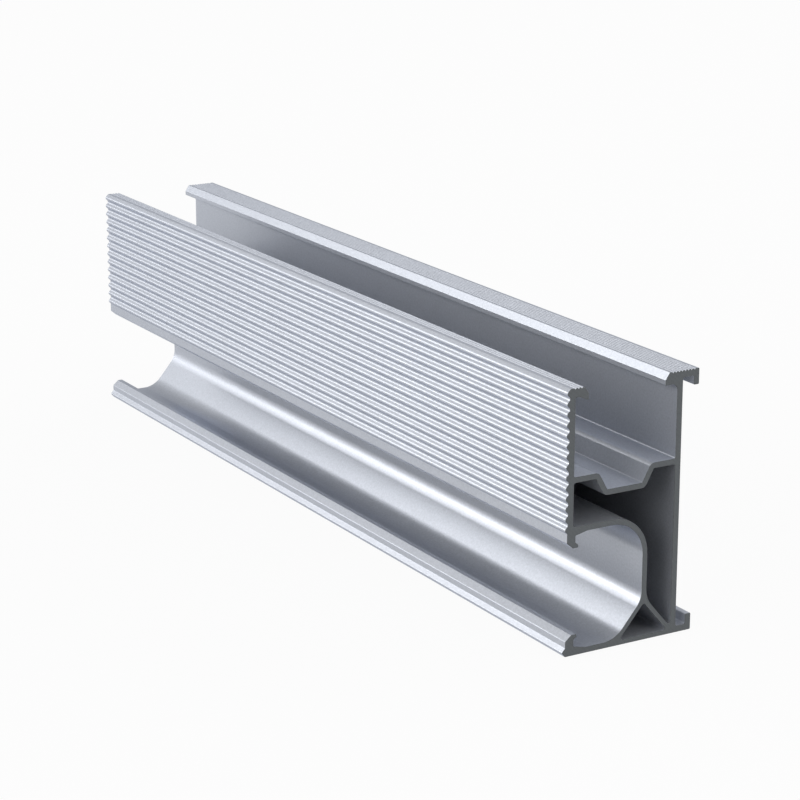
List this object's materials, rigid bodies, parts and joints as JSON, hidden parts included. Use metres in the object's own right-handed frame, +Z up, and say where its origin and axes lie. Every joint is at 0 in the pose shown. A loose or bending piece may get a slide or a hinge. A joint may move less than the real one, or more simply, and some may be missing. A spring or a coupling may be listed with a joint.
{
  "type": "solar mounting rail",
  "caption": "Short cut length of extruded aluminium rail for mounting solar panels, with a ribbed front, an open top channel, a slotted side channel and grooved top edges",
  "frame": {"origin": "middle of the flat base, at the bottom of the rail", "axes": "X runs along the rail with the cut end seen in the picture at +X, -Y is the ribbed front and +Z is up"},
  "size_m": [0.235, 0.0344, 0.06],
  "materials": {
    "rail": "mill finish drawn along its length, with matt saw-cut ends"
  },
  "bodies": {
    "root": {"rail": "rail"}
  },
  "joints": []
}
